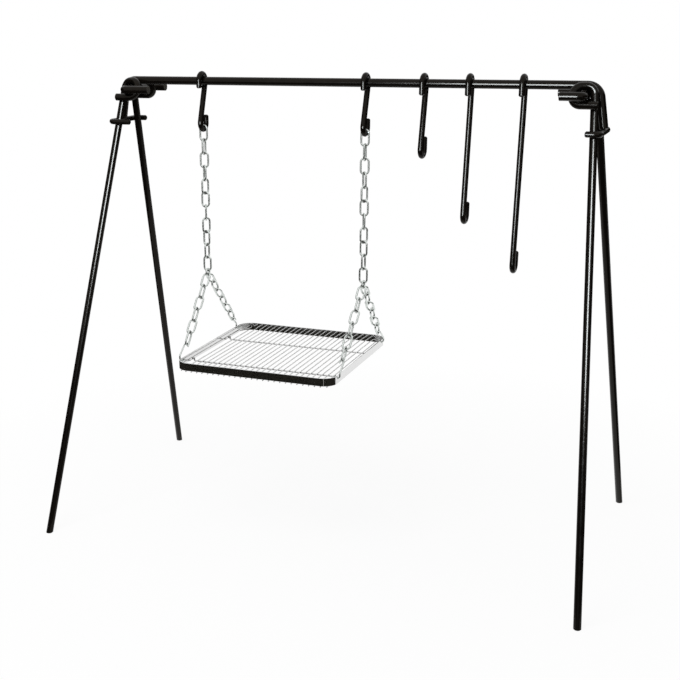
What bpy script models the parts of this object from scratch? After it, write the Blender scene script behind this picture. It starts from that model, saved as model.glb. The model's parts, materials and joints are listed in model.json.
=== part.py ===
"""Campfire stand: a crossbar on four folding legs, with a hanging grate and pot hooks.

Units are metres and +Z is up. The crossbar runs along X and the front is -Y. The
origin lies on the ground under the middle of the stand.
"""

import math

import bmesh
import bpy
from mathutils import Matrix, Vector

# Round bar and wire
BAR_DIAMETER = 0.0172
LEG_DIAMETER = 0.0152
PIN_DIAMETER = 0.0165
STOP_DIAMETER = 0.0115
HOOK_DIAMETER = 0.0118
LINK_WIRE = 0.004
CORNER_WIRE = 0.0035
GRID_WIRE = 0.0025
CROSS_WIRE = 0.0035

# Clearances
SEAT_GAP = 0.0003  # between pieces that touch or are welded to each other
EYE_CLEARANCE = 0.001  # between a leg's eye and its pin
EYE_SIDE_ROOM = 0.0025  # room for the eye's inward swing beside the crossbar
STOP_SIDE_CLEARANCE = 0.002  # between a leg and the arm of its stop
STRAND_SPACE = 0.0006  # between the two bridles in one joint ring
LINK_WELD = 0.0005  # depth by which a bridle's links press into each other
GRID_WELD = 0.0006  # depth of the welds between crossing wires

# Stand
BAR_HEIGHT = 0.973
BAR_BEND_RADIUS = 0.026
PIN_SPACING = 0.977
PIN_BEND_RADIUS = 0.0095
PIN_LONG_STUB = 0.064  # left front and right back
PIN_SHORT_STUB = 0.043
FOOT_SPREAD = 1.174
FOOT_DEPTH = 0.638
EYE_STRETCH = 0.006  # by which the eye is wider than it is high
EYE_TURN = math.radians(270)  # from straight out, over the top, to the tail
EYE_TAIL = 0.033
STOP_DROP = 0.0855  # below the crossbar's axis
STOP_BEND_RADIUS = 0.011
STOP_LONG_ARM = 0.036  # left front only, past the middle of the leg
STOP_SHORT_ARM = 0.014

# Hooks on the crossbar
HOOK_LOOP_RADIUS = 0.0135
CHAIN_HOOK_HEIGHT = 0.1282
CHAIN_HOOK_TIP_DROP = 0.006  # front tip below the crossbar
CHAIN_HOOK_TIP_RISE = 0.0355  # back tip above the hook's lowest point
POT_HOOK_TIP_DROP = 0.0135
POT_HOOK_TIP_RISE = 0.043
SHORT_HOOK_X, SHORT_HOOK_HEIGHT = 0.1688, 0.1688
MEDIUM_HOOK_X, MEDIUM_HOOK_HEIGHT = 0.2617, 0.2969
LONG_HOOK_X, LONG_HOOK_HEIGHT = 0.3672, 0.3914

# Chains
GRATE_CENTRE_X = -0.1395
CHAIN_SPACING = 0.3715
CHAIN_LINKS = 11
CHAIN_TWIST = math.radians(180)
LINK_INNER_LENGTH = 0.0292
LINK_INNER_WIDTH = 0.0125
RING_INNER = 0.012
BRIDLE_LINKS = 6
CORNER_HOOK_LENGTH = 0.0405  # from the last link to the hole in the rim
CORNER_HOOK_INSET = 0.034  # hole from the rim's front or back face
CORNER_HOOK_REACH = 0.005  # to each side of the rim
CORNER_HOOK_TIP = 0.006
CORNER_HOOK_RISE = 0.004  # above the rim before it leans inwards
CORNER_EYE_HALF_WIDTH = 0.0046
CORNER_EYE_TIP = 0.009
CORNER_BEND_RADIUS = 0.004

# Grate
GRATE_SIZE = 0.366
GRATE_CORNER_RADIUS = 0.030
RIM_HEIGHT = 0.0175
RIM_THICKNESS = 0.002
RIM_HOLE = 0.0055
RIM_HOLE_DROP = 0.0065  # centre of the hole below the rim's upper edge
GRID_WIRES = 27
GRID_INSET = 0.014  # outermost wire from the rim's outer face
CROSS_INSET = 0.088  # cross wire from the rim's front or back face
CROSS_RISE = 0.004  # end of a cross wire up the rim's inner face

# Facets
BAR_SIDES = 12
LEG_SIDES = 10
STOP_SIDES = 8
HOOK_SIDES = 8
WIRE_SIDES = 6
BEND_STEP = math.radians(22.5)
LINK_ARC_STEPS = 4
RIM_CORNER_STEPS = 6
HOLE_SIDES = 10

# Colour, metallic and roughness
PAINT = ((0.020, 0.018, 0.016), 0.0, 0.36)
ZINC = ((0.56, 0.56, 0.55), 1.0, 0.38)
CHROME = ((0.78, 0.78, 0.78), 1.0, 0.12)


def tangent_angle(across, down, radius):
    """Lean of a line that leaves a circle on its outer side and ends at a point below."""
    return math.acos(radius / math.hypot(across, down)) - math.atan2(down, across)


# Leg, seen from its pin: the shaft runs straight up into the outer side of the eye.
PIN_X = PIN_SPACING / 2
PIN_Z = BAR_HEIGHT - (BAR_DIAMETER + PIN_DIAMETER) / 2 - SEAT_GAP
EYE_RADIUS = (PIN_DIAMETER + LEG_DIAMETER) / 2 + EYE_CLEARANCE
LEG_LEAN = tangent_angle(FOOT_SPREAD / 2 - PIN_X, PIN_Z, EYE_RADIUS)
LEG_TOP_OUT = PIN_X + EYE_RADIUS * math.cos(LEG_LEAN)
LEG_TOP_Z = PIN_Z + EYE_RADIUS * math.sin(LEG_LEAN)
LEG_TOP_AWAY = (BAR_DIAMETER + LEG_DIAMETER) / 2 + EYE_SIDE_ROOM
LEG_SPLAY = (FOOT_DEPTH / 2 - LEG_TOP_AWAY) / LEG_TOP_Z
LEG_SIDE = math.hypot(1, LEG_SPLAY)  # stretch of the leg's width across its splay
EYE_AWAY = LEG_TOP_AWAY + LEG_SPLAY * EYE_RADIUS + (LEG_DIAMETER + EYE_CLEARANCE) * LEG_SIDE
PIN_STUB_AWAY = EYE_AWAY + LEG_DIAMETER / 2 + SEAT_GAP + PIN_BEND_RADIUS

# Stop: a staple round both legs of one end, which the crossbar's turned-down end meets.
STOP_HEIGHT = BAR_HEIGHT - STOP_DROP
STOP_BELOW = LEG_TOP_Z - STOP_HEIGHT
STOP_LEG_OUT = LEG_TOP_OUT + STOP_BELOW * math.tan(LEG_LEAN)
STOP_LEG_AWAY = LEG_TOP_AWAY + STOP_BELOW * LEG_SPLAY
STOP_OUT = STOP_LEG_OUT + ((LEG_DIAMETER + STOP_DIAMETER) / 2 + SEAT_GAP) / math.cos(LEG_LEAN)
STOP_AWAY = STOP_LEG_AWAY + (
    (LEG_DIAMETER + STOP_DIAMETER) / 2 + STOP_SIDE_CLEARANCE
) * LEG_SIDE

# Chain, measured down from the crossbar's axis
HOOK_SEAT_RADIUS = (BAR_DIAMETER + HOOK_DIAMETER) / 2 + SEAT_GAP
HOOK_TOP = HOOK_SEAT_RADIUS + HOOK_DIAMETER / 2
CHAIN_TOP = HOOK_TOP - CHAIN_HOOK_HEIGHT + HOOK_DIAMETER + SEAT_GAP
LINK_STEP = LINK_INNER_LENGTH - SEAT_GAP
RING_Z = CHAIN_TOP - CHAIN_LINKS * LINK_STEP - RING_INNER / 2

# Bridle, measured from the axis through both joint rings
STRAND_SEAT = (RING_INNER - LINK_WIRE) / 2 - SEAT_GAP
STRAND_Y = (LINK_WIRE + STRAND_SPACE) / 2
STRAND_Z = -math.sqrt(STRAND_SEAT**2 - STRAND_Y**2)
BRIDLE_LENGTH = (
    LINK_WIRE / 2 + BRIDLE_LINKS * LINK_INNER_LENGTH + (BRIDLE_LINKS - 1) * LINK_WELD
)
CORNER_OUT = (GRATE_SIZE - RIM_THICKNESS) / 2
CORNER_AWAY = GRATE_SIZE / 2 - CORNER_HOOK_INSET
CORNER_Z = STRAND_Z - math.sqrt(
    (BRIDLE_LENGTH + CORNER_HOOK_LENGTH) ** 2
    - (CORNER_OUT - CHAIN_SPACING / 2) ** 2
    - (CORNER_AWAY - STRAND_Y) ** 2
)
HOLE_Z = CORNER_Z - (RIM_HOLE - CORNER_WIRE) / 2 + SEAT_GAP
RIM_TOP = HOLE_Z + RIM_HOLE_DROP
RIM_BOTTOM = RIM_TOP - RIM_HEIGHT
GRID_Z = RIM_BOTTOM - SEAT_GAP - GRID_WIRE / 2
CROSS_Z = GRID_Z - (GRID_WIRE + CROSS_WIRE) / 2 + GRID_WELD


def arc(across, up, radius, start, end, steps=None):
    """Points of an arc in a plane, about the centre (across, up), from one angle to another."""
    steps = steps or max(2, math.ceil(abs(end - start) / BEND_STEP - 1e-6))
    angles = [start + (end - start) * step / steps for step in range(steps + 1)]
    return [(across + radius * math.cos(a), up + radius * math.sin(a)) for a in angles]


def bent(corners, radius):
    """Path through the corners of a bent wire, with every inner corner rounded."""
    corners = [Vector(corner) for corner in corners]
    path = [corners[0]]
    for before, corner, after in zip(corners, corners[1:], corners[2:]):
        arrive, leave = (corner - before).normalized(), (after - corner).normalized()
        turn = arrive.angle(leave)
        reach = radius * math.tan(turn / 2)
        centre_way = (leave - arrive).normalized()
        centre = corner + centre_way * math.hypot(radius, reach)
        start, axis = corner - arrive * reach - centre, arrive.cross(leave).normalized()
        steps = max(2, math.ceil(turn / BEND_STEP - 1e-6))
        path += [
            centre + Matrix.Rotation(turn * step / steps, 3, axis) @ start
            for step in range(steps + 1)
        ]
    return path + [corners[-1]]


def sweep(body, path, diameter, sides, facing, loop=False):
    """Adds round wire along a path to a bmesh, with one of its edges facing a given way."""
    path, facing = [Vector(point) for point in path], Vector(facing)
    rings = []
    for i, point in enumerate(path):
        along = Vector()
        if loop or i > 0:
            along += (point - path[i - 1]).normalized()
        if loop or i < len(path) - 1:
            along += (path[(i + 1) % len(path)] - point).normalized()
        along.normalize()
        facing = (facing - along * facing.dot(along)).normalized()
        across = along.cross(facing)
        angles = [2 * math.pi * k / sides for k in range(sides)]
        rings.append(
            [
                body.verts.new(
                    point + (facing * math.cos(a) + across * math.sin(a)) * diameter / 2
                )
                for a in angles
            ]
        )
    for ring, following in zip(rings, rings[1:] + rings[:1] if loop else rings[1:]):
        for k in range(sides):
            near, far = k, (k + 1) % sides
            body.faces.new((ring[near], ring[far], following[far], following[near]))
    if not loop:
        body.faces.new(rings[0][::-1])
        body.faces.new(rings[-1])
    return rings


def mesh_of(name, body):
    """Mesh of a finished bmesh, with round sides shaded smooth and cut ends sharp."""
    bmesh.ops.recalc_face_normals(body, faces=body.faces)
    mesh = bpy.data.meshes.new(name)
    body.to_mesh(mesh)
    body.free()
    mesh.shade_smooth()
    mesh.set_sharp_from_angle(angle=math.radians(65))
    return mesh


def wire_mesh(name, path, diameter, sides, facing, loop=False):
    body = bmesh.new()
    sweep(body, path, diameter, sides, facing, loop)
    return mesh_of(name, body)


def place(name, mesh, look, location=(0, 0, 0), turn=0.0, parent=None):
    """Object for one piece, with a material of its own."""
    colour, metallic, roughness = look
    material = bpy.data.materials.new(name)
    material.use_nodes = True
    shader = material.node_tree.nodes["Principled BSDF"]
    shader.inputs["Base Color"].default_value = (*colour, 1)
    shader.inputs["Metallic"].default_value = metallic
    shader.inputs["Roughness"].default_value = roughness
    if not mesh.materials:
        mesh.materials.append(None)
    piece = bpy.data.objects.new(name, mesh)
    bpy.context.scene.collection.objects.link(piece)
    piece.material_slots[0].link = "OBJECT"
    piece.material_slots[0].material = material
    piece.location, piece.rotation_euler.z, piece.parent = location, turn, parent
    return piece


def pivot(name, location):
    """Empty on the axis of a joint that carries several pieces."""
    empty = bpy.data.objects.new(name, None)
    bpy.context.scene.collection.objects.link(empty)
    empty.empty_display_size, empty.location = 0.05, location
    return empty


def combine(piece, other, operation):
    """Cuts or joins a piece with a second mesh in the same place."""
    helper = bpy.data.objects.new(other.name, other)
    bpy.context.scene.collection.objects.link(helper)
    helper.location, helper.parent = piece.location, piece.parent
    helper.hide_render, helper.display_type = True, "WIRE"
    modifier = piece.modifiers.new(operation.title(), "BOOLEAN")
    modifier.operation, modifier.solver, modifier.object = operation, "EXACT", helper


def make_crossbar():
    """Bar whose two ends turn down over the pins and lean out to the stops."""
    bend_z = BAR_HEIGHT - BAR_BEND_RADIUS
    lean = tangent_angle(STOP_OUT - PIN_X, bend_z - STOP_HEIGHT, BAR_BEND_RADIUS)
    end_gap = STOP_DIAMETER / 2 + SEAT_GAP
    end = (STOP_OUT - end_gap * math.sin(lean), STOP_HEIGHT + end_gap * math.cos(lean))
    half = arc(PIN_X, bend_z, BAR_BEND_RADIUS, math.pi / 2, lean) + [end]
    path = [(-out, 0, up) for out, up in reversed(half)] + [(out, 0, up) for out, up in half]
    mesh = wire_mesh("crossbar", path, BAR_DIAMETER, BAR_SIDES, (0, 1, 0))
    place("crossbar", mesh, PAINT)


def make_axle_pin(name, side):
    """Pin under the crossbar, with its ends turned inwards to keep the legs on."""
    stubs = (-PIN_SHORT_STUB, -PIN_LONG_STUB) if side > 0 else (PIN_LONG_STUB, PIN_SHORT_STUB)
    corners = [(stubs[0], -PIN_STUB_AWAY, 0), (0, -PIN_STUB_AWAY, 0)]
    corners += [(0, PIN_STUB_AWAY, 0), (stubs[1], PIN_STUB_AWAY, 0)]
    mesh = wire_mesh(name, bent(corners, PIN_BEND_RADIUS), PIN_DIAMETER, LEG_SIDES, (0, 0, 1))
    place(name, mesh, PAINT, (side * PIN_X, 0, PIN_Z))


def make_leg_stop(name, side):
    """Staple that the two legs of one end lean against, open towards the middle."""
    leg = STOP_OUT - STOP_LEG_OUT
    front = -side * (leg + (STOP_SHORT_ARM if side > 0 else STOP_LONG_ARM))
    back = -side * (leg + STOP_SHORT_ARM)
    corners = [(front, -STOP_AWAY, 0), (0, -STOP_AWAY, 0), (0, STOP_AWAY, 0), (back, STOP_AWAY, 0)]
    mesh = wire_mesh(name, bent(corners, STOP_BEND_RADIUS), STOP_DIAMETER, STOP_SIDES, (0, 0, 1))
    place(name, mesh, PAINT, (side * STOP_OUT, 0, STOP_HEIGHT))


def make_leg(name, side, end):
    """Leg from its flat-cut foot to the eye round the pin and the tail across its shaft."""
    eye = arc(0, 0, EYE_RADIUS, LEG_LEAN, math.pi / 2)
    eye += arc(-EYE_STRETCH, 0, EYE_RADIUS, math.pi / 2, EYE_TURN)
    ways = [0.0]
    for near, far in zip(eye, eye[1:]):
        ways.append(ways[-1] + math.dist(near, far))
    swing = -LEG_SPLAY * ways[-1]
    points = [(FOOT_SPREAD / 2 - PIN_X, FOOT_DEPTH / 2, -PIN_Z)]
    for (out, up), way in zip(eye, ways):
        # The eye first carries on inwards with the splay, then swings out past the shaft.
        t = way / ways[-1]
        ease = t * t * (3 - 2 * t)
        away = LEG_TOP_AWAY + (EYE_AWAY - LEG_TOP_AWAY) * ease + swing * t * (1 - t) ** 2
        points.append((out, away, up))
    out, away, up = points[-1]
    points.append((out - EYE_TAIL * math.sin(EYE_TURN), away, up + EYE_TAIL * math.cos(EYE_TURN)))
    path = [Vector((side * out, end * away, up)) for out, away, up in points]
    body = bmesh.new()
    foot = sweep(body, path, LEG_DIAMETER, LEG_SIDES, (0, end, 0))[0]
    shaft = (path[1] - path[0]).normalized()
    for vertex in foot:
        vertex.co -= shaft * (vertex.co.z + PIN_Z) / shaft.z
    place(name, mesh_of(name, body), PAINT, (side * PIN_X, 0, PIN_Z))


def s_hook(name, height, tip_drop, tip_rise):
    """S-shaped hook over the crossbar's axis, with its upper tip in front and its lower one behind."""
    upper, lower = HOOK_SEAT_RADIUS, HOOK_LOOP_RADIUS
    bottom = HOOK_TOP - height
    lower_z = bottom + HOOK_DIAMETER / 2 + lower
    slant = math.asin((upper + lower) / -lower_z)
    points = [(-upper, -BAR_DIAMETER / 2 - tip_drop)]
    points += arc(0, 0, upper, math.pi, -slant)
    points += arc(0, lower_z, lower, math.pi - slant, 2 * math.pi)
    points.append((lower, bottom + tip_rise))
    path = [(0, across, up) for across, up in points]
    return wire_mesh(name, path, HOOK_DIAMETER, HOOK_SIDES, (1, 0, 0))


def link_path():
    """Oval centre line of a link in the XZ plane, hanging from its inner top at the origin."""
    bend = (LINK_INNER_WIDTH + LINK_WIRE) / 2
    top = LINK_WIRE / 2 - bend
    upper = arc(0, top, bend, 0, math.pi, LINK_ARC_STEPS)
    lower = arc(0, -LINK_INNER_LENGTH - top, bend, math.pi, 2 * math.pi, LINK_ARC_STEPS)
    return [Vector((across, 0, up)) for across, up in upper + lower]


def make_hanger(side_name, x, link_mesh, ring_mesh):
    """Chain that hangs from its own hook, turned half round on its way down to a joint ring."""
    hanger = pivot(f"{side_name}_hanger", (x, 0, BAR_HEIGHT))
    name = f"{side_name}_chain_hook"
    hook = s_hook(name, CHAIN_HOOK_HEIGHT, CHAIN_HOOK_TIP_DROP, CHAIN_HOOK_TIP_RISE)
    place(name, hook, PAINT, parent=hanger)
    for i in range(CHAIN_LINKS):
        t = i / (CHAIN_LINKS - 1)
        turn = i * math.pi / 2 + CHAIN_TWIST * t * t * (3 - 2 * t)
        spot = (0, 0, CHAIN_TOP - i * LINK_STEP)
        place(f"{side_name}_chain_link_{i + 1:02d}", link_mesh, ZINC, spot, turn, hanger)
    place(f"{side_name}_joint_ring", ring_mesh, ZINC, (0, 0, RING_Z), 0, hanger)


def make_corner(name, side, end, grate):
    """Bridle chain from a joint ring and the hook that joins it to the rim near one corner."""
    start = Vector((side * CHAIN_SPACING / 2, end * STRAND_Y, STRAND_Z))
    corner = Vector((side * CORNER_OUT, end * CORNER_AWAY, CORNER_Z))
    along = (start - corner).normalized()
    width = Vector((1, 0, 0))
    width = (width - along * width.dot(along)).normalized()
    cross = along.cross(width)

    strands = [bmesh.new(), bmesh.new()]
    for i in range(BRIDLE_LINKS):
        drop = LINK_WIRE / 2 + i * (LINK_INNER_LENGTH + LINK_WELD)
        flat = (width, cross)[i % 2]
        path = [start - along * drop + flat * p.x + along * p.z for p in link_path()]
        sweep(strands[i % 2], path, LINK_WIRE, WIRE_SIDES, -flat, loop=True)
    bridle = place(f"{name}_bridle", mesh_of(f"{name}_bridle", strands[0]), ZINC, parent=grate)
    combine(bridle, mesh_of(f"{name}_bridle_even_links", strands[1]), "UNION")

    out, up = Vector((side, 0, 0)), Vector((0, 0, 1))
    reach, shift = out * CORNER_HOOK_REACH, width * side * CORNER_EYE_HALF_WIDTH
    eye = start - along * (BRIDLE_LENGTH - CORNER_WIRE / 2 - SEAT_GAP)
    points = [corner - reach + up * CORNER_HOOK_TIP, corner - reach, corner + reach]
    points.append(corner + reach + up * (RIM_TOP - CORNER_Z + CORNER_HOOK_RISE))
    points += [eye + shift, eye - shift, eye - shift - along * CORNER_EYE_TIP]
    path = bent(points, CORNER_BEND_RADIUS)
    mesh = wire_mesh(f"{name}_corner_hook", path, CORNER_WIRE, WIRE_SIDES, out)
    place(f"{name}_corner_hook", mesh, ZINC, parent=grate)


def rim_outline(inset):
    """Rounded square of the grate, some way in from its outer face."""
    middle, radius = GRATE_SIZE / 2 - GRATE_CORNER_RADIUS, GRATE_CORNER_RADIUS - inset
    outline = []
    for quarter, (right, back) in enumerate(((1, 1), (-1, 1), (-1, -1), (1, -1))):
        start = quarter * math.pi / 2
        outline += arc(
            right * middle, back * middle, radius, start, start + math.pi / 2, RIM_CORNER_STEPS
        )
    return outline


def make_rim(grate):
    """Bent strip on edge, with a hole near each corner."""
    body = bmesh.new()
    outer, inner = rim_outline(0), rim_outline(RIM_THICKNESS)
    walls = ((outer, RIM_BOTTOM), (outer, RIM_TOP), (inner, RIM_TOP), (inner, RIM_BOTTOM))
    edges = [[body.verts.new((x, y, z)) for x, y in outline] for outline, z in walls]
    for edge, following in zip(edges, edges[1:] + edges[:1]):
        for k in range(len(edge)):
            body.faces.new((edge[k], edge[k - 1], following[k - 1], following[k]))
    rim = place("grate_rim", mesh_of("grate_rim", body), CHROME, parent=grate)

    holes = bmesh.new()
    for side in (-1, 1):
        for end in (-1, 1):
            spot = Vector((side * CORNER_OUT, end * CORNER_AWAY, HOLE_Z))
            reach = Vector((3 * RIM_THICKNESS, 0, 0))
            ends = [spot - reach, spot + reach]
            sweep(holes, ends, RIM_HOLE, HOLE_SIDES, (0, 0, 1))
    combine(rim, mesh_of("grate_rim_holes", holes), "DIFFERENCE")


def make_grid(grate):
    """Wires under the rim, welded to two cross wires whose ends turn up inside it."""
    middle = GRATE_SIZE / 2 - GRATE_CORNER_RADIUS
    pitch = (GRATE_SIZE - 2 * GRID_INSET) / (GRID_WIRES - 1)
    wires = bmesh.new()
    for i in range(GRID_WIRES):
        x = (i - (GRID_WIRES - 1) / 2) * pitch
        past = max(0, abs(x) - middle)
        reach = middle + math.sqrt(GRATE_CORNER_RADIUS**2 - past**2)
        sweep(wires, [(x, -reach, GRID_Z), (x, reach, GRID_Z)], GRID_WIRE, WIRE_SIDES, (0, 0, 1))
    grid = place("grate_grid", mesh_of("grate_grid", wires), CHROME, parent=grate)

    crossing = bmesh.new()
    end = GRATE_SIZE / 2 - RIM_THICKNESS - SEAT_GAP - CROSS_WIRE / 2
    for y in (CROSS_INSET - GRATE_SIZE / 2, GRATE_SIZE / 2 - CROSS_INSET):
        corners = [(-end, y, RIM_BOTTOM + CROSS_RISE), (-end, y, CROSS_Z)]
        corners += [(end, y, CROSS_Z), (end, y, RIM_BOTTOM + CROSS_RISE)]
        path = bent(corners, CROSS_WIRE)
        sweep(crossing, path, CROSS_WIRE, WIRE_SIDES, (1, 0, 0))
    combine(grid, mesh_of("grate_grid_cross_wires", crossing), "UNION")


for old in list(bpy.data.objects):
    bpy.data.objects.remove(old, do_unlink=True)

make_crossbar()
for side_name, side in (("left", -1), ("right", 1)):
    make_axle_pin(f"{side_name}_axle_pin", side)
    make_leg_stop(f"{side_name}_leg_stop", side)
    for end_name, end in (("front", -1), ("back", 1)):
        make_leg(f"{side_name}_{end_name}_leg", side, end)

for size_name, x, height in (
    ("short", SHORT_HOOK_X, SHORT_HOOK_HEIGHT),
    ("medium", MEDIUM_HOOK_X, MEDIUM_HOOK_HEIGHT),
    ("long", LONG_HOOK_X, LONG_HOOK_HEIGHT),
):
    name = f"{size_name}_pot_hook"
    hook = s_hook(name, height, POT_HOOK_TIP_DROP, POT_HOOK_TIP_RISE)
    place(name, hook, PAINT, (x, 0, BAR_HEIGHT))

link_mesh = wire_mesh("chain_link", link_path(), LINK_WIRE, WIRE_SIDES, (-1, 0, 0), loop=True)
ring_radius = (RING_INNER + LINK_WIRE) / 2
ring_path = [(0, y, z) for y, z in arc(0, 0, ring_radius, 0, 2 * math.pi, 12)[:-1]]
ring_mesh = wire_mesh("joint_ring", ring_path, LINK_WIRE, WIRE_SIDES, (0, -1, 0), loop=True)
grate = pivot("grate", (GRATE_CENTRE_X, 0, BAR_HEIGHT + RING_Z))
for side_name, side in (("left", -1), ("right", 1)):
    make_hanger(side_name, GRATE_CENTRE_X + side * CHAIN_SPACING / 2, link_mesh, ring_mesh)
    for end_name, end in (("front", -1), ("back", 1)):
        make_corner(f"{side_name}_{end_name}", side, end, grate)
make_rim(grate)
make_grid(grate)
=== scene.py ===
import json
import math

import bmesh
import bpy
from mathutils import Matrix, Vector

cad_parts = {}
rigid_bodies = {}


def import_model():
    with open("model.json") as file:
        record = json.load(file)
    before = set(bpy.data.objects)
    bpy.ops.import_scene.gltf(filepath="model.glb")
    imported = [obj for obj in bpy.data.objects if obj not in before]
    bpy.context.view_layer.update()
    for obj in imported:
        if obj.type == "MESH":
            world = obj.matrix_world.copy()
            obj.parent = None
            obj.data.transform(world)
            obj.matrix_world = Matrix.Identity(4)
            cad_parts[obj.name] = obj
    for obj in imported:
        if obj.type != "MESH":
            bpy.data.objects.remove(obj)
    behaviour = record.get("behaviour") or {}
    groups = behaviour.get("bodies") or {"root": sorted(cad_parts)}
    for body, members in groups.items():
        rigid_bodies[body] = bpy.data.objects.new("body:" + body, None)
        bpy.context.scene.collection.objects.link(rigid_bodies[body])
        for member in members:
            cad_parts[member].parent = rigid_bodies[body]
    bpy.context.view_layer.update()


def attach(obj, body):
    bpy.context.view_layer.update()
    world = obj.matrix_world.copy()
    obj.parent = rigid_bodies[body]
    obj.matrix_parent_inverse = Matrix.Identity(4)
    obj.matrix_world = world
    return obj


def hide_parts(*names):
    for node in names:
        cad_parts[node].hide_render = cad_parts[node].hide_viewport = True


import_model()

# Crossbar: one round steel bar, painted semi-gloss black. Both ends are bent down over
# the axle pins and lean out to the leg stops, which they are welded to.
SEAT_GAP = 0.0003
BAR_DIAMETER, BAR_HEIGHT, BAR_BEND_RADIUS = 0.0172, 0.973, 0.026
PIN_DIAMETER, PIN_SPACING = 0.0165, 0.977
LEG_DIAMETER, FOOT_SPREAD, FOOT_DEPTH = 0.0152, 1.174, 0.638
EYE_CLEARANCE, EYE_SIDE_ROOM = 0.001, 0.0025
STOP_DIAMETER, STOP_DROP = 0.0115, 0.0855
BAR_SIDES, CUT_EDGE = 40, 0.0008
ARC_STEP, SHARP_ANGLE = math.radians(6), math.radians(38)


def tangent_angle(across, down, radius):
    """Lean of a line that leaves a circle on its outer side and ends at a point below."""
    return math.acos(radius / math.hypot(across, down)) - math.atan2(down, across)


def arc(across, up, radius, start, end):
    """Points of an arc in a plane, about the centre (across, up)."""
    steps = max(2, math.ceil(abs(end - start) / ARC_STEP - 1e-6))
    angles = [start + (end - start) * step / steps for step in range(steps + 1)]
    return [(across + radius * math.cos(a), up + radius * math.sin(a)) for a in angles]


def bend_wire(
    body, path, diameter, sides, facing, loop=False, edge=CUT_EDGE, swell=None, bare=None
):
    """Adds round wire along a path to a bmesh, with the rims of its cut ends broken."""
    path, facing, rings = [Vector(point) for point in path], Vector(facing), []
    radii = [diameter / 2 * (swell[i] if swell else 1) for i in range(len(path))]
    if not loop and edge:
        for end, inner in ((0, 1), (-1, -2)):
            back = path[end] + (path[inner] - path[end]).normalized() * edge
            path.insert(1 if end == 0 else len(path) - 1, back)
            radii.insert(1 if end == 0 else len(radii) - 1, diameter / 2)
            radii[end] = diameter / 2 - edge
    for i, (point, radius) in enumerate(zip(path, radii)):
        along = Vector()
        if loop or i > 0:
            along += (point - path[i - 1]).normalized()
        if loop or i < len(path) - 1:
            along += (path[(i + 1) % len(path)] - point).normalized()
        along.normalize()
        facing = (facing - along * facing.dot(along)).normalized()
        across = along.cross(facing)
        turns = [2 * math.pi * k / sides for k in range(sides)]
        spots = [point + (facing * math.cos(a) + across * math.sin(a)) * radius for a in turns]
        rings.append([body.verts.new(spot) for spot in spots])
    for ring, following in zip(rings, rings[1:] + rings[:1] if loop else rings[1:]):
        for k in range(sides):
            body.faces.new((ring[k], ring[k - 1], following[k - 1], following[k]))
    if not loop:
        body.faces.new(rings[0])
        body.faces.new(rings[-1][::-1])
    # The cut ends are marked for a painted sheen of light in the paint.
    if bare:
        for vertex in rings[0] + rings[-1]:
            vertex[bare] = 1.0
    return rings


def finished(name, body):
    """Mesh of a bmesh, smooth on its round faces and sharp on its cut ones."""
    bmesh.ops.recalc_face_normals(body, faces=body.faces)
    mesh = bpy.data.meshes.new(name)
    body.to_mesh(mesh)
    body.free()
    mesh.shade_smooth()
    mesh.set_sharp_from_angle(angle=SHARP_ANGLE)
    return mesh


def wire_mesh(name, path, diameter, sides, facing, painted_sheen_ends=False, **how):
    """Mesh of one wire, which can mark its cut ends for a paler, painted sheen on them."""
    body = bmesh.new()
    bare = body.verts.layers.float.new("bare") if painted_sheen_ends else None
    bend_wire(body, path, diameter, sides, facing, bare=bare, **how)
    return finished(name, body)


def put(name, mesh, finish, rides_on, nodes, where=None):
    """Object that stands for some CAD nodes, moves with their body and has its finish."""
    piece = bpy.data.objects.new(name, mesh)
    bpy.context.scene.collection.objects.link(piece)
    if where is not None:
        piece.matrix_world = where
    if not mesh.materials:
        mesh.materials.append(finish)
    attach(piece, rides_on)
    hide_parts(*nodes)
    return piece


class Field:
    """A value that varies over a surface: one output of a node, for use in expressions."""

    def __init__(self, tree, socket=None):
        self.tree, self.socket = tree, socket

    def node(self, kind, settings=(), sockets=(), output=0):
        """Adds a node, applies its settings, then fills its sockets with values or fields."""
        made = self.tree.nodes.new(kind)
        for key, value in dict(settings).items():
            setattr(made, key, value)
        for key, value in dict(sockets).items():
            if isinstance(value, Field):
                self.tree.links.new(value.socket, made.inputs[key])
            else:
                made.inputs[key].default_value = value
        return Field(self.tree, made.outputs[output])

    def math(self, operation, first, second):
        return self.node("ShaderNodeMath", {"operation": operation}, {0: first, 1: second})

    def __add__(self, other):
        return self.math("ADD", self, other)

    def __rsub__(self, other):
        return self.math("SUBTRACT", other, self)

    def __mul__(self, other):
        return self.math("MULTIPLY", self, other)

    __radd__, __rmul__ = __add__, __mul__

    def noise(self, scale, detail=2.0):
        """Grain of the finish, with a scale in cycles per metre."""
        place = self.node("ShaderNodeTexCoord", output=3)
        sockets = {"Vector": place, "Scale": scale, "Detail": detail}
        return self.node("ShaderNodeTexNoise", sockets=sockets)

    def mix(self, share, first, second):
        """Blend of two colours, of which each is a field or three numbers."""
        ends = [end if isinstance(end, Field) else (*end, 1) for end in (first, second)]
        settings = {"data_type": "RGBA", "clamp_factor": True}
        return self.node("ShaderNodeMix", settings, {0: share, 6: ends[0], 7: ends[1]}, output=2)

    def bump(self, height, depth):
        """Normal of a surface that rises with a field by up to a depth in metres."""
        sockets = {"Strength": 1.0, "Distance": depth, "Height": height}
        return self.node("ShaderNodeBump", sockets=sockets)


def coating(name):
    """Material with an empty recipe, to be filled by the finish that uses it."""
    material = bpy.data.materials.new(name)
    material.use_nodes = True
    return material, Field(material.node_tree), material.node_tree.nodes["Principled BSDF"]


def lay_on(shader, **sockets):
    """Sets the shader's constant sockets and links the varying ones."""
    for key, value in sockets.items():
        socket = shader.inputs[key.replace("_", " ")]
        if isinstance(value, Field):
            value.tree.links.new(value.socket, socket)
        else:
            socket.default_value = value


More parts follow.
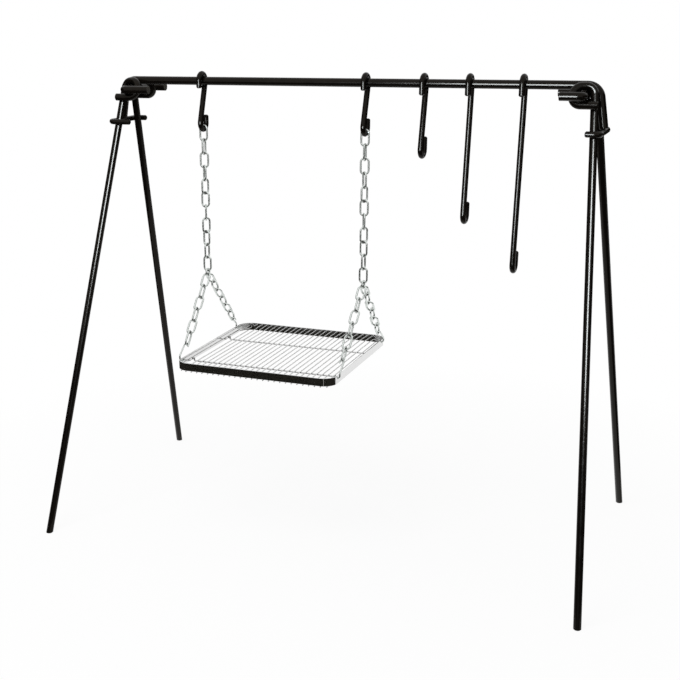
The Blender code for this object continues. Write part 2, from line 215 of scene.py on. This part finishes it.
def black_paint():
    """Baked paint: brownish black with a fine orange peel, dull on the pins' ends and painted
    paler there as a sheen of light.
    """
    material, field, shader = coating("black_paint")
    deep, faded, end_sheen_colour = (0.0026, 0.0022, 0.0018), (0.0072, 0.0056, 0.0044), (0.05, 0.046, 0.04)
    cloudy, peel = field.noise(scale=55, detail=3), field.noise(scale=700)
    # The pins' cut ends are rougher and painted paler, as a sheen of light on them.
    bare = field.node("ShaderNodeAttribute", {"attribute_name": "bare"}, output=2)
    lay_on(
        shader,
        Base_Color=field.mix(bare, field.mix(cloudy, deep, faded), end_sheen_colour),
        Roughness=0.10 + 0.10 * cloudy + 0.25 * bare,
        Normal=field.bump(peel, depth=0.000004),
        Specular_IOR_Level=0.12,
        Specular_Tint=(1.0, 0.92, 0.80, 1),
    )
    return material


paint = black_paint()
pin_x = PIN_SPACING / 2
pin_z = BAR_HEIGHT - (BAR_DIAMETER + PIN_DIAMETER) / 2 - SEAT_GAP
eye_radius = (PIN_DIAMETER + LEG_DIAMETER) / 2 + EYE_CLEARANCE
leg_lean = tangent_angle(FOOT_SPREAD / 2 - pin_x, pin_z, eye_radius)
leg_top_z = pin_z + eye_radius * math.sin(leg_lean)
leg_top_away = (BAR_DIAMETER + LEG_DIAMETER) / 2 + EYE_SIDE_ROOM
leg_splay = (FOOT_DEPTH / 2 - leg_top_away) / leg_top_z
splay_width = math.hypot(1, leg_splay)
stop_z = BAR_HEIGHT - STOP_DROP
stop_leg_out = pin_x + eye_radius * math.cos(leg_lean) + (leg_top_z - stop_z) * math.tan(leg_lean)
stop_out = stop_leg_out + ((LEG_DIAMETER + STOP_DIAMETER) / 2 + SEAT_GAP) / math.cos(leg_lean)
bend_z = BAR_HEIGHT - BAR_BEND_RADIUS
end_lean = tangent_angle(stop_out - pin_x, bend_z - stop_z, BAR_BEND_RADIUS)
end_gap = STOP_DIAMETER / 2 + SEAT_GAP
bar_end = (stop_out - end_gap * math.sin(end_lean), stop_z + end_gap * math.cos(end_lean))
half_bar = arc(pin_x, bend_z, BAR_BEND_RADIUS, math.pi / 2, end_lean) + [bar_end]
left_half = [(-out, 0, up) for out, up in reversed(half_bar)]
bar_path = left_half + [(out, 0, up) for out, up in half_bar]
bar_mesh = wire_mesh("painted_crossbar", bar_path, BAR_DIAMETER, BAR_SIDES, (0, 1, 0))
put("painted_crossbar", bar_mesh, paint, "stand", ["crossbar"])

# Axle pins: a short round bar welded across the underside of the crossbar at each end.
# Its own ends are turned inwards, so that the legs' eyes can't slide off.
PIN_BEND_RADIUS, PIN_LONG_STUB, PIN_SHORT_STUB, PIN_SIDES = 0.0095, 0.064, 0.043, 32


def bent(corners, radius):
    """Path through the corners of a bent wire, with every inner corner rounded."""
    corners = [Vector(corner) for corner in corners]
    path = [corners[0]]
    for before, corner, after in zip(corners, corners[1:], corners[2:]):
        arrive, leave = (corner - before).normalized(), (after - corner).normalized()
        turn = arrive.angle(leave)
        reach = radius * math.tan(turn / 2)
        centre = corner + (leave - arrive).normalized() * math.hypot(radius, reach)
        start, axis = corner - arrive * reach - centre, arrive.cross(leave).normalized()
        steps = max(2, math.ceil(turn / ARC_STEP))
        turns = [Matrix.Rotation(turn * step / steps, 3, axis) for step in range(steps + 1)]
        path += [centre + rotation @ start for rotation in turns]
    return path + [corners[-1]]


eye_away = leg_top_away + leg_splay * eye_radius + (LEG_DIAMETER + EYE_CLEARANCE) * splay_width
stub_away = eye_away + LEG_DIAMETER / 2 + SEAT_GAP + PIN_BEND_RADIUS
for side_name, side in (("left", -1), ("right", 1)):
    stubs = (PIN_LONG_STUB, PIN_SHORT_STUB) if side < 0 else (PIN_SHORT_STUB, PIN_LONG_STUB)
    front, back = (side * (pin_x - stub) for stub in stubs)
    corners = [(front, -stub_away, pin_z), (side * pin_x, -stub_away, pin_z)]
    corners += [(side * pin_x, stub_away, pin_z), (back, stub_away, pin_z)]
    name, path = f"painted_{side_name}_axle_pin", bent(corners, PIN_BEND_RADIUS)
    # Its cut ends are marked for the painted sheen.
    pin_mesh = wire_mesh(name, path, PIN_DIAMETER, PIN_SIDES, (0, 0, 1), painted_sheen_ends=True)
    put(name, pin_mesh, paint, "stand", [f"{side_name}_axle_pin"])

# Leg stops: thinner round bar bent into a staple round the legs of one end. The legs lean
# out against its back, and its two arms, ground round at the ends, keep them from spreading.
STOP_BEND_RADIUS, STOP_SIDE_CLEARANCE, STOP_SIDES = 0.011, 0.002, 28
STOP_LONG_ARM, STOP_SHORT_ARM, GROUND_EDGE = 0.036, 0.014, 0.0022
stop_leg_away = leg_top_away + (leg_top_z - stop_z) * leg_splay
stop_leg_room = (LEG_DIAMETER + STOP_DIAMETER) / 2 + STOP_SIDE_CLEARANCE
stop_away = stop_leg_away + stop_leg_room * splay_width
for side_name, side in (("left", -1), ("right", 1)):
    front = side * (stop_leg_out - (STOP_LONG_ARM if side < 0 else STOP_SHORT_ARM))
    back = side * (stop_leg_out - STOP_SHORT_ARM)
    corners = [(front, -stop_away, stop_z), (side * stop_out, -stop_away, stop_z)]
    corners += [(side * stop_out, stop_away, stop_z), (back, stop_away, stop_z)]
    name, path = f"painted_{side_name}_leg_stop", bent(corners, STOP_BEND_RADIUS)
    stop_mesh = wire_mesh(name, path, STOP_DIAMETER, STOP_SIDES, (0, 0, 1), edge=GROUND_EDGE)
    put(name, stop_mesh, paint, "stand", [f"{side_name}_leg_stop"])

# Legs: straight round bar with a flat-cut foot. The top is coiled once round the axle pin,
# and its tail crosses in front of the shaft, so that the leg can fold under the crossbar.
EYE_STRETCH, EYE_TURN, EYE_TAIL, LEG_SIDES = 0.006, math.radians(270), 0.033, 32
tail_out, tail_up = -EYE_TAIL * math.sin(EYE_TURN), EYE_TAIL * math.cos(EYE_TURN)
for side_name, side in (("left", -1), ("right", 1)):
    for end_name, end in (("front", -1), ("back", 1)):
        eye = arc(0, 0, eye_radius, leg_lean, math.pi / 2)
        eye += arc(-EYE_STRETCH, 0, eye_radius, math.pi / 2, EYE_TURN)
        ways = [0.0]
        for near, far in zip(eye, eye[1:]):
            ways.append(ways[-1] + math.dist(near, far))
        swing = -leg_splay * ways[-1]
        points = [(FOOT_SPREAD / 2 - pin_x, FOOT_DEPTH / 2, -pin_z)]
        for (out, up), way in zip(eye, ways):
            # The eye first carries on inwards with the splay, then swings out past the shaft.
            t = way / ways[-1]
            ease = t * t * (3 - 2 * t)
            away = leg_top_away + (eye_away - leg_top_away) * ease + swing * t * (1 - t) ** 2
            points.append((out, away, up))
        out, away, up = points[-1]
        points.append((out + tail_out, away, up + tail_up))
        path = [Vector((side * (pin_x + out), end * away, pin_z + up)) for out, away, up in points]
        body = bmesh.new()
        rings = bend_wire(body, path, LEG_DIAMETER, LEG_SIDES, (0, end, 0))
        shaft = (path[1] - path[0]).normalized()
        for ring, height in ((rings[0], 0.0), (rings[1], CUT_EDGE)):
            for vertex in ring:
                vertex.co -= shaft * (vertex.co.z - height) / shaft.z
        name = f"painted_{side_name}_{end_name}_leg"
        leg_body = f"{side_name}_{end_name}_leg"
        put(name, finished(name, body), paint, leg_body, [leg_body])

# Hooks: round bar bent into an S and painted like the stand. The short pair carry the
# chains, and three of rising length are for pots.
HOOK_DIAMETER, HOOK_LOOP_RADIUS, HOOK_SIDES = 0.0118, 0.0135, 28
CHAIN_HOOK_HEIGHT, CHAIN_HOOK_TIP_DROP, CHAIN_HOOK_TIP_RISE = 0.1282, 0.006, 0.0355
POT_HOOK_TIP_DROP, POT_HOOK_TIP_RISE = 0.0135, 0.043
GRATE_CENTRE_X, CHAIN_SPACING = -0.1395, 0.3715
SHORT_HOOK_X, SHORT_HOOK_HEIGHT = 0.1688, 0.1688
MEDIUM_HOOK_X, MEDIUM_HOOK_HEIGHT = 0.2617, 0.2969
LONG_HOOK_X, LONG_HOOK_HEIGHT = 0.3672, 0.3914
hook_seat = (BAR_DIAMETER + HOOK_DIAMETER) / 2 + SEAT_GAP
hook_top = hook_seat + HOOK_DIAMETER / 2
left_chain_x = GRATE_CENTRE_X - CHAIN_SPACING / 2
right_chain_x = GRATE_CENTRE_X + CHAIN_SPACING / 2
chain_tips = (CHAIN_HOOK_TIP_DROP, CHAIN_HOOK_TIP_RISE)
pot_tips = (POT_HOOK_TIP_DROP, POT_HOOK_TIP_RISE)
for node, rides_on, x, height, (tip_drop, tip_rise) in (
    ("left_chain_hook", "left_hanger", left_chain_x, CHAIN_HOOK_HEIGHT, chain_tips),
    ("right_chain_hook", "right_hanger", right_chain_x, CHAIN_HOOK_HEIGHT, chain_tips),
    ("short_pot_hook", "short_pot_hook", SHORT_HOOK_X, SHORT_HOOK_HEIGHT, pot_tips),
    ("medium_pot_hook", "medium_pot_hook", MEDIUM_HOOK_X, MEDIUM_HOOK_HEIGHT, pot_tips),
    ("long_pot_hook", "long_pot_hook", LONG_HOOK_X, LONG_HOOK_HEIGHT, pot_tips),
):
    bottom = hook_top - height
    loop_z = bottom + HOOK_DIAMETER / 2 + HOOK_LOOP_RADIUS
    slant = math.asin((hook_seat + HOOK_LOOP_RADIUS) / -loop_z)
    points = [(-hook_seat, -BAR_DIAMETER / 2 - tip_drop)]
    points += arc(0, 0, hook_seat, math.pi, -slant)
    points += arc(0, loop_z, HOOK_LOOP_RADIUS, math.pi - slant, 2 * math.pi)
    points.append((HOOK_LOOP_RADIUS, bottom + tip_rise))
    path = [(x, across, BAR_HEIGHT + up) for across, up in points]
    name = f"painted_{node}"
    hook_mesh = wire_mesh(name, path, HOOK_DIAMETER, HOOK_SIDES, (1, 0, 0), edge=GROUND_EDGE)
    put(name, hook_mesh, paint, rides_on, [node])

# Chains: welded oval links of zinc-plated wire, coloured darker where they bear on each
# other. Each chain turns half round on its way down to a round joint ring.
LINK_WIRE, LINK_INNER_LENGTH, LINK_INNER_WIDTH = 0.004, 0.0292, 0.0125
CHAIN_LINKS, CHAIN_TWIST, RING_INNER = 11, math.radians(180), 0.012
WELD_SWELL, WELD_LENGTH, DARK_SPOT_REACH = 0.10, 0.0045, 0.0045
LINK_SIDES, LINK_SIDE_STEPS = 16, 8


def link_path(inner_length):
    """Oval centre line in the XZ plane, hanging from its inner top at the origin."""
    bend = (LINK_INNER_WIDTH + LINK_WIRE) / 2
    top = LINK_WIRE / 2 - bend
    bottom = -inner_length - top
    steps = range(1, LINK_SIDE_STEPS)
    side = [(-bend, top + (bottom - top) * k / LINK_SIDE_STEPS) for k in steps]
    points = arc(0, top, bend, 0, math.pi) + side
    points += arc(0, bottom, bend, math.pi, 2 * math.pi)
    points += [(-across, up) for across, up in reversed(side)]
    return [Vector((across, 0, up)) for across, up in points]


def add_link(body, dark_spot, inner_length, place):
    """One link at a place, with the weld on one of its sides and its dark spots marked."""
    path = link_path(inner_length)
    middle = -inner_length / 2
    swell = [
        1 + WELD_SWELL * math.exp(-(((p.z - middle) / (WELD_LENGTH / 2)) ** 2)) * (p.x < 0)
        for p in path
    ]
    inwards = place.to_3x3() @ Vector((-1, 0, 0))
    spots = [place @ p for p in path]
    rings = bend_wire(body, spots, LINK_WIRE, LINK_SIDES, inwards, loop=True, swell=swell)
    # The spots are marked darker on the inside of each bend, where the next link touches.
    for point, ring in zip(path, rings):
        nearest = min(abs(point.z - LINK_WIRE / 2), abs(point.z + inner_length + LINK_WIRE / 2))
        reach = math.hypot(point.x, nearest) / DARK_SPOT_REACH
        for k, vertex in enumerate(ring):
            inside = 0.5 + 0.5 * math.cos(math.tau * k / LINK_SIDES)
            vertex[dark_spot] = math.exp(-reach * reach) * inside


def zinc_plate():
    """Bright zinc, mottled and a little dull, with dark spots where the links bear on each other.
    """
    material, field, shader = coating("zinc_plate")
    dull, bright, dark_spot_colour = (0.66, 0.70, 0.675), (0.90, 0.94, 0.91), (0.10, 0.095, 0.09)
    mottle, grain = field.noise(scale=180, detail=4), field.noise(scale=1400)
    dark_spot = field.node("ShaderNodeAttribute", {"attribute_name": "dark_spot"}, output=2)
    # Darker colour on the marked spots where the links bear on each other.
    darkened = field.math("MINIMUM", dark_spot * 1.4 + 0.5 * mottle * dark_spot, 1.0)
    lay_on(
        shader,
        Base_Color=field.mix(darkened, field.mix(mottle, dull, bright), dark_spot_colour),
        Metallic=1.0,
        Roughness=0.24 + 0.18 * mottle + 0.2 * dark_spot,
        Normal=field.bump(grain, depth=0.00003),
    )
    return material


zinc = zinc_plate()
chain_top = hook_top - CHAIN_HOOK_HEIGHT + HOOK_DIAMETER + SEAT_GAP
link_step = LINK_INNER_LENGTH - SEAT_GAP
ring_z = BAR_HEIGHT + chain_top - CHAIN_LINKS * link_step - RING_INNER / 2
body = bmesh.new()
add_link(body, body.verts.layers.float.new("dark_spot"), LINK_INNER_LENGTH, Matrix.Identity(4))
link_mesh = finished("zinc_chain_link", body)
ring_arc = arc(0, 0, (RING_INNER + LINK_WIRE) / 2, 0, math.tau)[:-1]
ring_path = [(0, y, z) for y, z in ring_arc]
ring_mesh = wire_mesh("zinc_joint_ring", ring_path, LINK_WIRE, LINK_SIDES, (0, -1, 0), loop=True)
for side_name, x in (("left", left_chain_x), ("right", right_chain_x)):
    for i in range(CHAIN_LINKS):
        t = i / (CHAIN_LINKS - 1)
        turn = i * math.pi / 2 + CHAIN_TWIST * t * t * (3 - 2 * t)
        spot = Matrix.Translation((x, 0, BAR_HEIGHT + chain_top - i * link_step))
        where, node = spot @ Matrix.Rotation(turn, 4, "Z"), f"{side_name}_chain_link_{i + 1:02d}"
        put(f"zinc_{node}", link_mesh, zinc, f"{side_name}_hanger", [node], where)
    spot, node = Matrix.Translation((x, 0, ring_z)), f"{side_name}_joint_ring"
    put(f"zinc_{node}", ring_mesh, zinc, f"{side_name}_hanger", [node], spot)

# Bridles: short lengths of the same chain, from each joint ring to the front and back
# of the grate's side. A bent wire hook joins the last link to a hole in the rim.
BRIDLE_LINKS, LINK_WELD, STRAND_SPACE = 6, 0.0005, 0.0006
CORNER_WIRE, CORNER_HOOK_LENGTH, CORNER_HOOK_REACH = 0.0035, 0.0405, 0.005
CORNER_HOOK_TIP, CORNER_HOOK_RISE, CORNER_BEND_RADIUS = 0.006, 0.004, 0.004
CORNER_HOOK_INSET, CORNER_EYE_HALF_WIDTH, CORNER_EYE_TIP = 0.034, 0.0046, 0.009
CORNER_SIDES, CORNER_EDGE = 16, 0.0004
GRATE_SIZE, GRATE_CORNER_RADIUS = 0.366, 0.030
RIM_HEIGHT, RIM_THICKNESS, RIM_HOLE, RIM_HOLE_DROP = 0.0175, 0.002, 0.0055, 0.0065
strand_seat = (RING_INNER - LINK_WIRE) / 2 - SEAT_GAP
strand_y = (LINK_WIRE + STRAND_SPACE) / 2
strand_z = ring_z - math.sqrt(strand_seat**2 - strand_y**2)
bridle_step = LINK_INNER_LENGTH + LINK_WELD
bridle_length = LINK_WIRE / 2 + BRIDLE_LINKS * bridle_step - LINK_WELD
corner_out, corner_away = (GRATE_SIZE - RIM_THICKNESS) / 2, GRATE_SIZE / 2 - CORNER_HOOK_INSET
corner_z = strand_z - math.sqrt(
    (bridle_length + CORNER_HOOK_LENGTH) ** 2
    - (corner_out - CHAIN_SPACING / 2) ** 2
    - (corner_away - strand_y) ** 2
)
hole_z = corner_z - (RIM_HOLE - CORNER_WIRE) / 2 + SEAT_GAP
rim_top = hole_z + RIM_HOLE_DROP
for side_name, side in (("left", -1), ("right", 1)):
    for end_name, end in (("front", -1), ("back", 1)):
        start = Vector((GRATE_CENTRE_X + side * CHAIN_SPACING / 2, end * strand_y, strand_z))
        corner = Vector((GRATE_CENTRE_X + side * corner_out, end * corner_away, corner_z))
        along = (start - corner).normalized()
        width = Vector((1, 0, 0))
        width = (width - along * width.dot(along)).normalized()
        cross = along.cross(width)
        body = bmesh.new()
        dark_spot = body.verts.layers.float.new("dark_spot")
        for i in range(BRIDLE_LINKS):
            flat, edge = (width, cross) if i % 2 == 0 else (cross, -width)
            spot = start - along * (LINK_WIRE / 2 + i * bridle_step)
            place = Matrix.Translation(spot) @ Matrix((flat, edge, along)).transposed().to_4x4()
            last = i == BRIDLE_LINKS - 1
            add_link(body, dark_spot, LINK_INNER_LENGTH if last else bridle_step + SEAT_GAP, place)
        node = f"{side_name}_{end_name}_bridle"
        put(f"zinc_{node}", finished(f"zinc_{node}", body), zinc, "grate", [node])

        outwards, up = Vector((side, 0, 0)), Vector((0, 0, 1))
        reach, shift = outwards * CORNER_HOOK_REACH, width * side * CORNER_EYE_HALF_WIDTH
        eye = start - along * (bridle_length - CORNER_WIRE / 2 - SEAT_GAP)
        corners = [corner - reach + up * CORNER_HOOK_TIP, corner - reach, corner + reach]
        corners.append(corner + reach + up * (rim_top - corner_z + CORNER_HOOK_RISE))
        corners += [eye + shift, eye - shift, eye - shift - along * CORNER_EYE_TIP]
        path, node = bent(corners, CORNER_BEND_RADIUS), f"{side_name}_{end_name}_corner_hook"
        name = f"zinc_{node}"
        hook_mesh = wire_mesh(name, path, CORNER_WIRE, CORNER_SIDES, outwards, edge=CORNER_EDGE)
        put(name, hook_mesh, zinc, "grate", [node])

# Rim: flat steel strip on edge, bent into a square with round corners and butt-welded near
# the right front one. Holes near the corners take the hooks, and it is bright chrome.
STRIP_EDGE, SEAM_WIDTH, SEAM_X = 0.0004, 0.0008, 0.163
HOLE_SIDES, DRILL_REACH = 24, 3 * RIM_THICKNESS


def chrome_plate():
    """Mirror-bright chrome with faint long ripples, and a pale line where the strip is welded."""
    material, field, shader = coating("chrome_plate")
    hazy, clear, seam = (0.66, 0.66, 0.655), (0.80, 0.80, 0.80), (0.36, 0.35, 0.33)
    ripple, haze = field.noise(scale=45, detail=1), field.noise(scale=260, detail=3)
    place = field.node("ShaderNodeTexCoord", output=3)
    across = field.node("ShaderNodeSeparateXYZ", sockets={0: place}, output=0)
    depth = field.node("ShaderNodeSeparateXYZ", sockets={0: place}, output=1)
    sockets = {0: across, 1: GRATE_CENTRE_X + SEAM_X, 2: SEAM_WIDTH / 2}
    weld = field.node("ShaderNodeMath", {"operation": "COMPARE"}, sockets)
    weld = weld * field.math("LESS_THAN", depth, RIM_THICKNESS - GRATE_SIZE / 2)
    lay_on(
        shader,
        Base_Color=field.mix(weld, field.mix(haze, hazy, clear), seam),
        Metallic=1 - weld,
        Roughness=0.04 + 0.08 * haze + 0.4 * weld,
        Normal=field.bump(ripple, depth=0.00015),
    )
    return material


chrome = chrome_plate()
rim_bottom = rim_top - RIM_HEIGHT
strip = [(0, STRIP_EDGE), (0, RIM_HEIGHT - STRIP_EDGE), (STRIP_EDGE, RIM_HEIGHT)]
strip += [(RIM_THICKNESS - STRIP_EDGE, RIM_HEIGHT), (RIM_THICKNESS, RIM_HEIGHT - STRIP_EDGE)]
strip += [(RIM_THICKNESS, STRIP_EDGE), (RIM_THICKNESS - STRIP_EDGE, 0), (STRIP_EDGE, 0)]
straight = GRATE_SIZE / 2 - GRATE_CORNER_RADIUS
body = bmesh.new()
loops = []
for inset, height in strip:
    outline = []
    for quarter, (right, back) in enumerate(((1, 1), (-1, 1), (-1, -1), (1, -1))):
        begin, radius = quarter * math.pi / 2, GRATE_CORNER_RADIUS - inset
        outline += arc(right * straight, back * straight, radius, begin, begin + math.pi / 2)
    spots = [(GRATE_CENTRE_X + x, y, rim_bottom + height) for x, y in outline]
    loops.append([body.verts.new(spot) for spot in spots])
for loop, following in zip(loops, loops[1:] + loops[:1]):
    for k in range(len(loop)):
        body.faces.new((loop[k], loop[k - 1], following[k - 1], following[k]))
rim_mesh = finished("chrome_grate_rim", body)

cuts = bmesh.new()
for side in (-1, 1):
    for end in (-1, 1):
        hole = Vector((GRATE_CENTRE_X + side * corner_out, end * corner_away, hole_z))
        reach = Vector((DRILL_REACH, 0, 0))
        bend_wire(cuts, [hole - reach, hole + reach], RIM_HOLE, HOLE_SIDES, (0, 0, 1), edge=0)
cutter = bpy.data.objects.new("rim_cuts", finished("rim_cuts", cuts))
blank = bpy.data.objects.new("rim_blank", rim_mesh)
for helper in (cutter, blank):
    bpy.context.scene.collection.objects.link(helper)
drill = blank.modifiers.new("Drill", "BOOLEAN")
drill.operation, drill.solver, drill.object = "DIFFERENCE", "EXACT", cutter
bpy.context.view_layer.update()
drilled = blank.evaluated_get(bpy.context.evaluated_depsgraph_get())
rim_mesh = bpy.data.meshes.new_from_object(drilled)
rim_mesh.materials.clear()
rim_mesh.set_sharp_from_angle(angle=SHARP_ANGLE)
for helper in (cutter, blank):
    bpy.data.objects.remove(helper, do_unlink=True)
put("chrome_grate_rim", rim_mesh, chrome, "grate", ["grate_rim"])

# Grid: thin chromed wires from front to back, welded under the rim's lower edge. Two
# thicker wires cross below them, with their ends turned up inside the rim.
GRID_WIRE, GRID_WIRES, GRID_INSET, GRID_WELD = 0.0025, 27, 0.014, 0.0006
CROSS_WIRE, CROSS_INSET, CROSS_RISE = 0.0035, 0.088, 0.004
GRID_SIDES, CROSS_SIDES, GRID_EDGE = 12, 14, 0.0003
grid_pitch = (GRATE_SIZE - 2 * GRID_INSET) / (GRID_WIRES - 1)
grid_z = rim_bottom - SEAT_GAP - GRID_WIRE / 2
cross_z = grid_z - (GRID_WIRE + CROSS_WIRE) / 2 + GRID_WELD
body = bmesh.new()
for i in range(GRID_WIRES):
    x = (i - (GRID_WIRES - 1) / 2) * grid_pitch
    past = max(0, abs(x) - straight)
    reach = straight + math.sqrt(GRATE_CORNER_RADIUS**2 - past**2)
    ends = [(GRATE_CENTRE_X + x, -reach, grid_z), (GRATE_CENTRE_X + x, reach, grid_z)]
    bend_wire(body, ends, GRID_WIRE, GRID_SIDES, (0, 0, 1), edge=GRID_EDGE)
turned_up = GRATE_SIZE / 2 - RIM_THICKNESS - SEAT_GAP - CROSS_WIRE / 2
for y in (CROSS_INSET - GRATE_SIZE / 2, GRATE_SIZE / 2 - CROSS_INSET):
    left, right = GRATE_CENTRE_X - turned_up, GRATE_CENTRE_X + turned_up
    corners = [(left, y, rim_bottom + CROSS_RISE), (left, y, cross_z)]
    corners += [(right, y, cross_z), (right, y, rim_bottom + CROSS_RISE)]
    path = bent(corners, CROSS_WIRE)
    bend_wire(body, path, CROSS_WIRE, CROSS_SIDES, (1, 0, 0), edge=GRID_EDGE)
grid_mesh = finished("chrome_grate_grid", body)
put("chrome_grate_grid", grid_mesh, chrome, "grate", ["grate_grid"])

# Floor: a plain white sweep that the stand is photographed on. It is as bright as the
# background to the camera and in reflections, and keeps the stand's soft shadow near it.
FLOOR_SIZE, SHADOW_REACH, LIT_SHARE = 60.0, 1.3, 0.15


def seen_directly(field):
    """1 for what the camera sees, straight on or in metal and glass, and 0 for light."""
    kinds = ("Camera", "Glossy", "Transmission")
    rays = [field.node("ShaderNodeLightPath", output=f"Is {kind} Ray") for kind in kinds]
    return field.math("MAXIMUM", field.math("MAXIMUM", rays[0], rays[1]), rays[2])


body = bmesh.new()
bmesh.ops.create_grid(body, x_segments=1, y_segments=1, size=FLOOR_SIZE / 2)
floor = bpy.data.objects.new("studio_floor", finished("studio_floor", body))
bpy.context.scene.collection.objects.link(floor)
material, field, shader = coating("white_sweep")
lay_on(shader, Base_Color=(0.94, 0.94, 0.94, 1), Roughness=1.0, Specular_IOR_Level=0.0)
place = field.node("ShaderNodeTexCoord", output=3)
away = field.node("ShaderNodeVectorMath", {"operation": "LENGTH"}, {0: place}, output=1)
near = field.math("MAXIMUM", 1 - away * (1 / SHADOW_REACH), 0.0)
glow = field.node("ShaderNodeEmission", sockets={"Color": (1, 1, 1, 1), "Strength": 1.0})
matt = Field(field.tree, shader.outputs[0])
share = seen_directly(field) * (1 - LIT_SHARE * near)
surface = field.node("ShaderNodeMixShader", sockets={0: share, 1: matt, 2: glow})
field.tree.links.new(surface.socket, field.tree.nodes["Material Output"].inputs["Surface"])
floor.data.materials.append(material)

# Light: a white room and an overhead soft box light everything. Two more soft boxes are seen
# only as highlights in the painted pieces, and dark flags only in reflections, where they
# give the bars and the rim their black.
ROOM_LIGHT, LAMP_AIM = 0.45, Vector((0, 0, 0.6))
WHITE_LIGHT, COOL_LIGHT = (1.0, 1.0, 1.0), (0.76, 0.87, 1.0)
world = bpy.data.worlds.new("white_room")
bpy.context.scene.world = world
world.use_nodes = True
field = Field(world.node_tree)
background = world.node_tree.nodes["Background"]
background.inputs["Color"].default_value = (1, 1, 1, 1)
lay_on(background, Strength=ROOM_LIGHT + (1 - ROOM_LIGHT) * seen_directly(field))
painted = [piece for piece in bpy.context.scene.objects if piece.name.startswith("painted_")]
legs = [piece for piece in painted if piece.name.endswith("_leg")]
hooks_and_bar = [piece for piece in painted if piece not in legs]
for name, spot, size, watts, mirrored_in in (
    ("overhead_soft_box", (-0.4, -1.0, 2.6), (1.2, 1.2), 37, []),
    ("low_soft_box", (-0.05, -2.7, 0.97), (0.85, 1.3), 290, hooks_and_bar),
    ("leg_strip_light", (1.0, -2.9, 1.88), (1.5, 1.1), 640, legs),
):
    lamp = bpy.data.lights.new(name, "AREA")
    lamp.shape, lamp.size, lamp.size_y = "RECTANGLE", *size
    lamp.energy, lamp.color = watts, COOL_LIGHT if mirrored_in else WHITE_LIGHT
    holder = bpy.data.objects.new(name, lamp)
    bpy.context.scene.collection.objects.link(holder)
    holder.location = spot
    holder.visible_diffuse, holder.visible_glossy = not mirrored_in, bool(mirrored_in)
    if mirrored_in:
        holder.light_linking.receiver_collection = bpy.data.collections.new(name)
    for piece in mirrored_in:
        holder.light_linking.receiver_collection.objects.link(piece)
    holder.rotation_euler = (LAMP_AIM - Vector(spot)).to_track_quat("-Z", "Y").to_euler()
material, field, shader = coating("dark_cloth")
lay_on(shader, Base_Color=(0.026, 0.024, 0.020, 1), Roughness=1.0, Specular_IOR_Level=0.0)
for name, spot, lean, size in (
    ("front_floor_flag", (0, -2.5, 0.02), (0, 0, 0), (5.0, 2.15)),
    ("left_floor_flag", (-3.0, 0.3, 0.02), (0, 0, 0), (2.1, 0.65)),
    ("right_floor_flag", (2.0, 0.1, 0.02), (0, 0, 0), (1.3, 0.45)),
    ("back_floor_flag", (-1.0, 3.2, 0.02), (0, 0, 0), (1.0, 2.0)),
    ("front_flag", (0, -1.0, 0.3), (90, 0, 0), (2.2, 0.28)),
    ("back_flag", (-0.8, 3.2, 0.65), (90, 0, 0), (6.0, 0.75)),
    ("left_flag", (-3.4, 0.0, 1.2), (90, 0, 90), (3.0, 1.3)),
    ("right_flag", (4.2, 1.2, 1.2), (90, 0, 90), (3.0, 1.3)),
):
    body = bmesh.new()
    bmesh.ops.create_grid(body, x_segments=1, y_segments=1, size=1)
    flag = bpy.data.objects.new(name, finished(name, body))
    bpy.context.scene.collection.objects.link(flag)
    flag.location, flag.scale = spot, (*size, 1)
    flag.rotation_euler = [math.radians(angle) for angle in lean]
    flag.visible_camera = flag.visible_diffuse = flag.visible_shadow = False
    flag.data.materials.append(material)

# Camera: in front of the stand and to its right, a little above the crossbar. Its lens and
# shift are in pixels of the photograph, so that the stand lies in the picture as it does there.
CAMERA_SPOT = (0.8096, -2.2839, 1.1008)
CAMERA_AZIMUTH, CAMERA_ELEVATION, CAMERA_ROLL = math.radians(22.81), math.radians(18.58), -0.0109
FRAME_PIXELS, FOCAL_PIXELS, SHIFT_PIXELS, SENSOR = 680, 1138.0, (60, 60), 36.0
camera = bpy.data.objects.new("camera", bpy.data.cameras.new("camera"))
bpy.context.scene.collection.objects.link(camera)
camera.data.sensor_width = SENSOR
camera.data.lens = FOCAL_PIXELS / FRAME_PIXELS * SENSOR
camera.data.shift_x, camera.data.shift_y = (pixels / FRAME_PIXELS for pixels in SHIFT_PIXELS)
camera.location = CAMERA_SPOT
tilt = Matrix.Rotation(math.pi / 2 - CAMERA_ELEVATION, 4, "X")
turn = Matrix.Rotation(CAMERA_AZIMUTH, 4, "Z") @ tilt @ Matrix.Rotation(CAMERA_ROLL, 4, "Z")
camera.rotation_euler = turn.to_euler()
bpy.context.scene.camera = camera
bpy.context.scene.view_settings.view_transform = "Standard"
